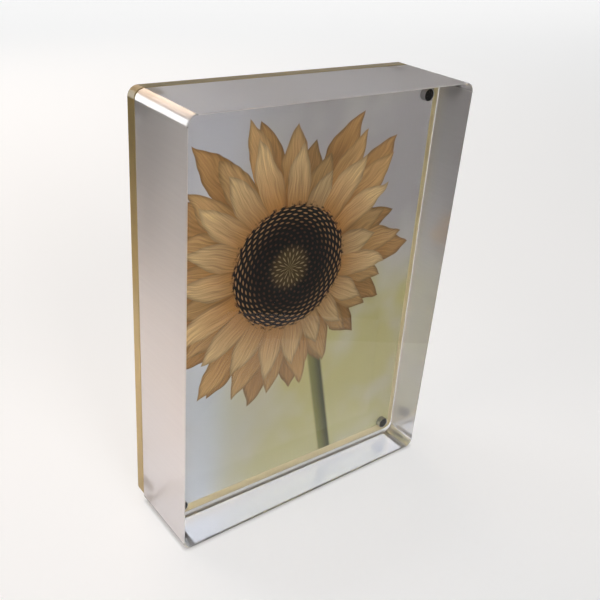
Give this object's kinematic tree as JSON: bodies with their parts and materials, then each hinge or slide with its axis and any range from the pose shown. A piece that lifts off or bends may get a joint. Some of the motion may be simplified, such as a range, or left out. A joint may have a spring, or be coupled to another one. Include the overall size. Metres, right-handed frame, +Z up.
{
  "type": "acrylic block frame",
  "caption": "Thick clear acrylic block that stands by itself and shows a paper print, held behind it by a thin tinted back panel with corner magnets.",
  "frame": {"origin": "middle of the footprint on the table", "axes": "+Z up, the front face looks along -Y, +X to the viewer's right"},
  "size_m": [0.13, 0.0404, 0.18],
  "materials": {
    "clear_acrylic": "polished",
    "tinted_acrylic": "polished",
    "photo_paper": "satin",
    "magnet_plating": "polished"
  },
  "bodies": {
    "block": {"front_block": "clear_acrylic", "block_magnet_top_left": "magnet_plating", "block_magnet_top_right": "magnet_plating", "block_magnet_bottom_left": "magnet_plating", "block_magnet_bottom_right": "magnet_plating"},
    "panel": {"back_panel": "tinted_acrylic", "panel_magnet_top_left": "magnet_plating", "panel_magnet_top_right": "magnet_plating", "panel_magnet_bottom_left": "magnet_plating", "panel_magnet_bottom_right": "magnet_plating"},
    "print": {"photo_print": "photo_paper"}
  },
  "joints": [
    {"name": "panel_pull", "type": "slide", "parent": "block", "child": "panel", "axis": [0, 1, 0], "range_m": [0, 0.04]},
    {"name": "print_lift", "type": "slide", "parent": "block", "child": "print", "axis": [0, 1, 0], "range_m": [0, 0.02]}
  ],
  "couplings": [
    {"joint": "print_lift", "follows": "panel_pull", "ratio": 0.5}
  ]
}
